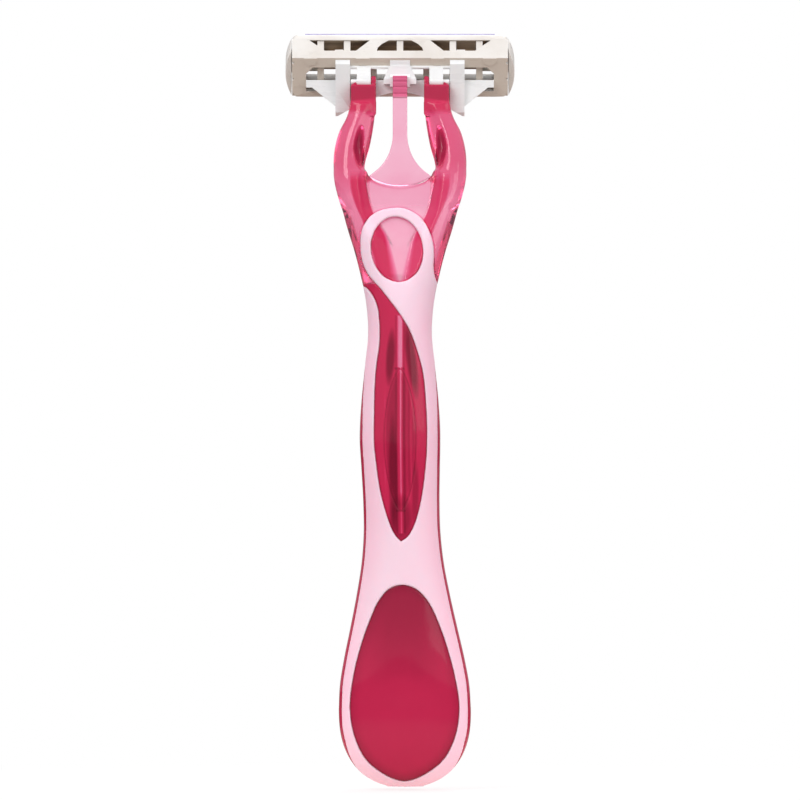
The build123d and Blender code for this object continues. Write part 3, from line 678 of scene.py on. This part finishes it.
# ---------------------------------------------------------------- material nodes
class Shader:
    """One node material, built up input by input."""

    def __init__(self, name):
        self.material = bpy.data.materials.new(name)
        self.material.use_nodes = True
        self.tree = self.material.node_tree
        self.surface = self.tree.nodes["Principled BSDF"]
        self.place = self.add("TexCoord", {}).outputs["Object"]

    def add(self, kind, inputs, **settings):
        node = self.tree.nodes.new("ShaderNode" + kind)
        for key, value in settings.items():
            setattr(node, key, value)
        for key, value in inputs.items():
            self.put(node.inputs[key], value)
        return node

    def put(self, socket, value):
        """Links a socket to the input, or sets it to a plain value."""
        if isinstance(value, bpy.types.NodeSocket):
            self.tree.links.new(value, socket)
        else:
            socket.default_value = value

    def set(self, **inputs):
        for key, value in inputs.items():
            self.put(self.surface.inputs[key.replace("_", " ")], value)

    def math(self, operation, a, b=0.0):
        return self.add("Math", {0: a, 1: b}, operation=operation).outputs[0]

    def mix(self, factor, a, b):
        return self.add("Mix", {0: factor, 6: a, 7: b}, data_type="RGBA").outputs[2]

    def noise(self, scale, detail=3.0, stretch=None):
        vector = self.place
        if stretch:
            vector = self.add("Mapping", {"Vector": vector, "Scale": stretch}).outputs[0]
        return self.add("TexNoise", {"Vector": vector, "Scale": scale, "Detail": detail}).outputs["Fac"]

    def band(self, value, low, high, out_low=0.0, out_high=1.0):
        """The value's place between low and high, spread from out_low to out_high."""
        inputs = {"Value": value, "From Min": low, "From Max": high, "To Min": out_low, "To Max": out_high}
        return self.add("MapRange", inputs).outputs[0]

    def bump(self, height, distance, strength):
        node = self.add("Bump", {"Height": height, "Distance": distance, "Strength": strength})
        self.put(self.surface.inputs["Normal"], node.outputs[0])

    def axis(self, index):
        return self.add("SeparateXYZ", {0: self.place}).outputs[index]

    def facing(self, index):
        """One part of the surface's normal, in the piece's own directions."""
        normal = self.add("TexCoord", {}).outputs["Normal"]
        return self.add("SeparateXYZ", {0: normal}).outputs[index]

    def attribute(self, name):
        return self.add("Attribute", {}, attribute_name=name).outputs["Fac"]


def tint(*rgb):
    """A linear colour from sRGB values of 11 to 255."""
    return (*[((value / 255 + 0.055) / 1.055) ** 2.4 for value in rgb], 1.0)


def tinted_plastic(name):
    """Clear magenta plastic whose colour deepens with the depth of plastic stored at each vertex, into which
    painted shade and painted light are also written.
    """
    s = Shader(name)
    patchy = s.band(s.noise(260, 2), 0.3, 0.7, -0.25, 0.25)
    path = s.math("ADD", s.attribute("path"), patchy)
    beyond = s.math("MAXIMUM", s.math("SUBTRACT", path, DEEP), 0.0)
    dark = s.math("POWER", math.exp(-SHADE), beyond)
    path = s.math("MINIMUM", path, DEEP)
    faded = [s.math("MULTIPLY", s.math("POWER", math.exp(-rate), path), dark) for rate in ABSORB]
    colour = s.add("CombineColor", dict(enumerate(faded))).outputs[0]
    s.set(Base_Color=colour, IOR=1.49)
    # rays inside the plastic pass straight through, so that only its front face shows a colour
    clear = s.attribute("clear")
    inside = s.add("NewGeometry", {}).outputs["Backfacing"]
    s.set(Transmission_Weight=s.math("MAXIMUM", clear, inside))
    scuffs = s.band(s.noise(900, 4, (1, 1, 0.25)), 0.45, 0.75)
    s.set(Roughness=s.band(scuffs, 0, 1, 0.05, 0.12), Specular_IOR_Level=s.band(clear, 0.1, 0.8, 0.1, 0.4))
    dye = s.add("VolumeAbsorption", {"Color": DYE, "Density": DYE_DENSITY}).outputs[0]
    s.put(s.tree.nodes["Material Output"].inputs["Volume"], dye)
    s.bump(s.noise(70, 2), 0.00006, 0.5)
    return s.material


def soft_skin():
    """Satin pink elastomer with a fine grain, pinker at the bottom, and pinker on its sides and to the right
    as painted shade.
    """
    s = Shader("soft_skin")
    # painted shade: pinker where the surface turns to the sides and towards the right; pinker towards the
    # bottom
    side = s.band(s.math("ADD", s.math("ABSOLUTE", s.facing(0)), s.noise(40, 2)), 0.75, 1.35)
    side = s.math("MULTIPLY", side, s.band(s.axis(2), 0.084, 0.094, 1.0, 0.0))
    side = s.math("ADD", side, s.band(s.axis(0), 0.0, 0.009, 0.0, 0.3))
    low = s.band(s.axis(2), 0.004, 0.02, 0.7, 0.0)
    colour = s.mix(s.math("MAXIMUM", side, low), tint(247, 216, 232), tint(255, 205, 225))
    cloudy = s.band(s.noise(180, 4), 0.3, 0.7, 0.0, 0.12)
    colour = s.mix(cloudy, colour, tint(244, 190, 210))
    rough = s.band(s.noise(1400, 3), 0.3, 0.7, 0.42, 0.58)
    s.set(Base_Color=colour, Roughness=rough, Specular_IOR_Level=0.35)
    s.set(Subsurface_Weight=0.25, Subsurface_Radius=(1.0, 0.45, 0.55), Subsurface_Scale=0.0012)
    s.bump(s.noise(5200, 2), 0.00001, 0.5)
    return s.material


def moulded(name, light, dark, gloss, down_shade=None):
    """Opaque moulded plastic: faint clouding, specks and flow marks; the last tint, if given, is painted
    shade on the faces that look down.
    """
    s = Shader(name)
    cloud = s.band(s.noise(150, 4), 0.35, 0.7)
    speck = s.band(s.noise(2400, 2), 0.68, 0.74, 0.0, 0.25)
    colour = s.mix(cloud, light, dark)
    colour = s.mix(speck, colour, dark)
    if down_shade:
        # painted shade: the faces that look down take the last tint
        colour = s.mix(s.band(s.facing(2), -0.45, -0.3, 1.0, 0.0), colour, down_shade)
    flow = s.noise(700, 3, (0.3, 1, 1))
    s.set(Base_Color=colour, Roughness=s.band(flow, 0.3, 0.7, gloss - 0.06, gloss + 0.08))
    s.set(Subsurface_Weight=0.12, Subsurface_Radius=(1.0, 0.9, 0.8), Subsurface_Scale=0.0006)
    s.bump(s.noise(3000, 3), 0.000012, 0.6)
    return s.material


def rolled_steel(name, light, dark, rough):
    """Cold-rolled strip, with streaks along its length."""
    s = Shader(name)
    streaks = s.noise(1500, 5, (0.02, 1, 1))
    colour = s.mix(s.band(streaks, 0.3, 0.7), dark, light)
    s.set(Base_Color=colour, Metallic=1.0, Roughness=s.band(streaks, 0.3, 0.7, rough - 0.08, rough + 0.1))
    s.set(Anisotropic=0.6)
    s.bump(streaks, 0.000008, 0.6)
    return s.material


def waxy(name, light, dark):
    """Soft waxy polymer with faint flecks drawn out along the head."""
    s = Shader(name)
    flecks = s.band(s.noise(1600, 3, (0.4, 1, 1)), 0.4, 0.65)
    s.set(Base_Color=s.mix(flecks, light, dark), Roughness=s.band(s.noise(800), 0.3, 0.7, 0.45, 0.65))
    s.set(Subsurface_Weight=0.3, Subsurface_Radius=(0.8, 0.7, 1.0), Subsurface_Scale=0.0005)
    s.bump(s.noise(1200, 3, (0.3, 1, 1)), 0.00003, 0.5)
    return s.material


# ---------------------------------------------------------------- blade springs
SPRING_FACE_X = 18.0  # mm; where the fingers of a blade spring leave its block
FINGER_BEND_X = 17.45  # nearer the middle than this, under the supports' legs, a finger moves with its blade
FINGER_CUTS = 5  # steps in which a finger bends
CUT_GAP = 0.01  # keeps the cuts off the block's own face
FINGER_ROOT = 0.1  # how far each finger goes into its block


def cut_across(shape, side, x, **clear):
    """Cuts a mesh at one distance from the razor's middle plane, and returns the edges of the cut."""
    everything = shape.verts[:] + shape.edges[:] + shape.faces[:]
    cut = bmesh.ops.bisect_plane(shape, geom=everything, dist=1e-8, plane_co=(side * x * MM, 0, 0),
                                 plane_no=(side, 0, 0), **clear)
    return [item for item in cut["geom_cut"] if isinstance(item, bmesh.types.BMEdge)]


def cut_copy(node, side, keep_fingers):
    """A blade spring's mesh cut at its block's face: the fingers or the block, closed at the cut."""
    shape = bmesh.new()
    shape.from_mesh(NODES[node].data)
    bmesh.ops.remove_doubles(shape, verts=shape.verts, dist=1e-7)
    face_x = SPRING_FACE_X - CUT_GAP if keep_fingers else SPRING_FACE_X + CUT_GAP
    edges = cut_across(shape, side, face_x, clear_outer=keep_fingers, clear_inner=not keep_fingers)
    bmesh.ops.holes_fill(shape, edges=edges)
    if keep_fingers:
        for step in range(1, FINGER_CUTS):
            share = step / FINGER_CUTS
            cut_across(shape, side, SPRING_FACE_X + (FINGER_BEND_X - SPRING_FACE_X) * share)
        for vert in shape.verts:
            if abs(vert.co.x) > (SPRING_FACE_X - 2 * CUT_GAP) * MM:
                vert.co.x = side * (SPRING_FACE_X + FINGER_ROOT) * MM
    bmesh.ops.recalc_face_normals(shape, faces=shape.faces)
    return shape


def spring_piece(name, node, shape, material):
    """A piece that stands for part of a blade spring, made from a cut mesh."""
    mesh = bpy.data.meshes.new(name)
    shape.to_mesh(mesh)
    shape.free()
    piece = bpy.data.objects.new(name, mesh)
    bpy.context.scene.collection.objects.link(piece)
    mesh.materials.append(material)
    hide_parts(node)
    return piece


def loose_parts(shape):
    """The separate shells of a mesh, lowest first."""
    left = set(shape.verts)
    parts = []
    while left:
        part, front = set(), [next(iter(left))]
        while front:
            vert = front.pop()
            if vert in part:
                continue
            part.add(vert)
            front.extend(edge.other_vert(vert) for edge in vert.link_edges)
        left -= part
        parts.append(part)
    return sorted(parts, key=lambda part: min(vert.co.z for vert in part))


def blade_springs(material):
    """Each blade spring as a block on the head and three fingers, each a separate piece cut into steps."""
    for side, word in ((-1, "left"), (1, "right")):
        node = "blade_spring_" + word
        block = cut_copy(node, side, keep_fingers=False)
        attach(spring_piece("Spring_block_" + word, node, block, material), "head")
        for number in range(3):
            fingers = cut_copy(node, side, keep_fingers=True)
            parts = loose_parts(fingers)
            others = [vert for part in parts if part is not parts[number] for vert in part]
            bmesh.ops.delete(fingers, geom=others, context="VERTS")
            finger = spring_piece(f"Spring_finger_{word}_{number + 1}", node, fingers, material)
            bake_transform(finger)


# ---------------------------------------------------------------- finishes
BEVELS = {  # edge rounding of the moulded parts, mm
    "rear_cover": 0.14, "face_frame": 0.14, "pivot_yoke": 0.16, "end_clip_left": 0.25, "end_clip_right": 0.25,
}
BEVEL_ANGLE = math.radians(32)  # only sharper edges are rounded


def soften_edges(node, width):
    """Rounds a CAD part's sharp edges with modifiers."""
    weld = node.modifiers.new("weld", "WELD")
    weld.merge_threshold = 1e-6
    bevel = node.modifiers.new("soft edges", "BEVEL")
    bevel.width = width * MM
    bevel.segments = 2
    bevel.limit_method = "ANGLE"
    bevel.angle_limit = BEVEL_ANGLE
    bevel.harden_normals = True


def finish_nodes():
    """Gives every shown CAD node its material and softens the moulded ones' edges."""
    # the housing's last tint is painted shade on its faces that look down
    housing = moulded("housing_plastic", tint(229, 225, 221), tint(218, 211, 205), 0.3, tint(213, 202, 190))
    clips = moulded("clip_plastic", tint(236, 231, 227), tint(226, 219, 213), 0.3)
    cool = moulded("yoke_plastic", tint(243, 244, 245), tint(234, 235, 237), 0.28)
    # the steels' grey is their own; the brown cast in both steel tints is painted reflection
    blade = rolled_steel("blade_steel", tint(158, 148, 136), tint(112, 101, 90), 0.22)
    holder = rolled_steel("support_steel", tint(214, 196, 176), tint(160, 142, 124), 0.45)
    guard = waxy("guard_rubber", tint(226, 168, 192), tint(212, 144, 172))
    strip = waxy("lubricant", tint(168, 160, 205), tint(140, 130, 186))
    looks = {"rear_cover": housing, "face_frame": housing, "pivot_yoke": cool, "lubricating_strip": strip,
             "guard_insert": guard, "end_clip_left": clips, "end_clip_right": clips}
    for number in "123":
        looks["blade_" + number] = blade
        looks["blade_support_" + number] = holder
    for name, material in looks.items():
        node = NODES[name]
        node.data.materials.clear()
        node.data.materials.append(material)
        if name in BEVELS:
            soften_edges(node, BEVELS[name])


core.data.materials.append(tinted_plastic("core_plastic"))
tongue.data.materials.append(tinted_plastic("tongue_plastic"))
skin.data.materials.append(soft_skin())
finish_nodes()
blade_springs(moulded("spring_plastic", tint(226, 222, 214), tint(214, 209, 200), 0.42))


# ---------------------------------------------------------------- studio
MIDDLE = Vector((0, 0, 0.08))  # what the lamps point at, metres
FLOOR_DROP = 0.0004  # the floor lies this far under the razor


def white_sweep(name):
    """A pale floor that fades to pure white away from the razor, so that it meets the backdrop unseen."""
    bpy.ops.mesh.primitive_circle_add(vertices=96, radius=4.0, fill_type="NGON", location=(0, 0, -FLOOR_DROP))
    floor = bpy.context.object
    floor.name = name
    s = Shader(name)
    far = s.add("VectorMath", {0: s.place}, operation="LENGTH").outputs["Value"]
    near = s.band(far, 0.03, 0.16, 0.35, 0.0)
    matte = s.add("BsdfDiffuse", {"Color": (0.9, 0.9, 0.9, 1)}).outputs[0]
    # white to the camera and through the clear plastic; the razor's own surfaces get a warm glow
    way = s.add("LightPath", {})
    seen = s.math("MAXIMUM", way.outputs["Is Camera Ray"], way.outputs["Is Transmission Ray"])
    strength = s.math("MAXIMUM", seen, s.band(far, 0.04, 0.12, 1.0, 0.2))
    colour = s.mix(seen, (1, 0.82, 0.7, 1), (1, 1, 1, 1))
    glow = s.add("Emission", {"Color": colour, "Strength": strength}).outputs[0]
    both = s.add("MixShader", {0: near, 1: glow, 2: matte}).outputs[0]
    s.put(s.tree.nodes["Material Output"].inputs["Surface"], both)
    floor.data.materials.append(s.material)


MOST_BOUNCES = 9.5  # a path longer than this sees the dim world even through clear plastic


def studio_world():
    """White behind the razor; for its own light, bright above and in front, dim below."""
    world = bpy.data.worlds.new("studio")
    world.use_nodes = True
    bpy.context.scene.world = world
    nodes, links = world.node_tree.nodes, world.node_tree.links

    def node(kind, **settings):
        made = nodes.new("ShaderNode" + kind)
        for key, value in settings.items():
            setattr(made, key, value)
        return made

    def maths(operation, a, b=0.0):
        made = node("Math", operation=operation)
        for socket, value in zip(made.inputs, (a, b)):
            if isinstance(value, bpy.types.NodeSocket):
                links.new(value, socket)
            else:
                socket.default_value = value
        return made.outputs[0]

    way = node("SeparateXYZ")
    links.new(node("TexCoord").outputs["Generated"], way.inputs[0])
    x, y, z = way.outputs
    light = maths("ADD", 0.64, maths("MULTIPLY", z, 0.38))
    light = maths("ADD", light, maths("MULTIPLY", y, -0.2))
    sides = maths("MULTIPLY", maths("POWER", maths("ABSOLUTE", x), 3.0), 0.15)
    light = maths("MAXIMUM", maths("ADD", light, sides), 0.05)
    path = node("LightPath")
    open_way = maths("MAXIMUM", path.outputs["Is Camera Ray"], path.outputs["Is Transmission Ray"])
    open_way = maths("MULTIPLY", open_way, maths("GREATER_THAN", MOST_BOUNCES, path.outputs["Ray Depth"]))
    blend = node("Mix")
    links.new(open_way, blend.inputs[0])
    links.new(light, blend.inputs[2])
    blend.inputs[3].default_value = 1.0
    links.new(blend.outputs[0], nodes["Background"].inputs[1])
    nodes["Background"].inputs[0].default_value = (1, 1, 1, 1)


def area(name, place, size, power):
    """A square soft box that points at the razor's middle."""
    lamp = bpy.data.objects.new(name, bpy.data.lights.new(name, "AREA"))
    bpy.context.scene.collection.objects.link(lamp)
    lamp.data.size, lamp.data.energy = size, power
    lamp.location = place
    lamp.rotation_euler = (MIDDLE - Vector(place)).to_track_quat("-Z", "Y").to_euler()


studio_world()
white_sweep("Floor")
area("Key", (-0.30, -0.45, 0.50), 0.30, 1.5)
area("Fill", (0.45, -0.40, 0.25), 0.35, 0.8)
area("Rim", (0.10, 0.45, 0.45), 0.30, 0.9)

LENS_LENGTH = 600  # mm; a long lens, as product pictures use
FRAME_WIDTH = 0.148  # metres of the scene that the picture spans
FRAME_MIDDLE = 0.0716  # height of the picture's middle
camera = bpy.data.objects.new("Camera", bpy.data.cameras.new("Camera"))
bpy.context.scene.collection.objects.link(camera)
camera.data.lens = LENS_LENGTH
camera.location = (0, -FRAME_WIDTH * LENS_LENGTH / camera.data.sensor_width, FRAME_MIDDLE)
camera.rotation_euler = (math.pi / 2, 0, 0)
camera.data.clip_start, camera.data.clip_end = 0.01, 20
bpy.context.scene.camera = camera
bpy.context.scene.view_settings.view_transform = "Standard"
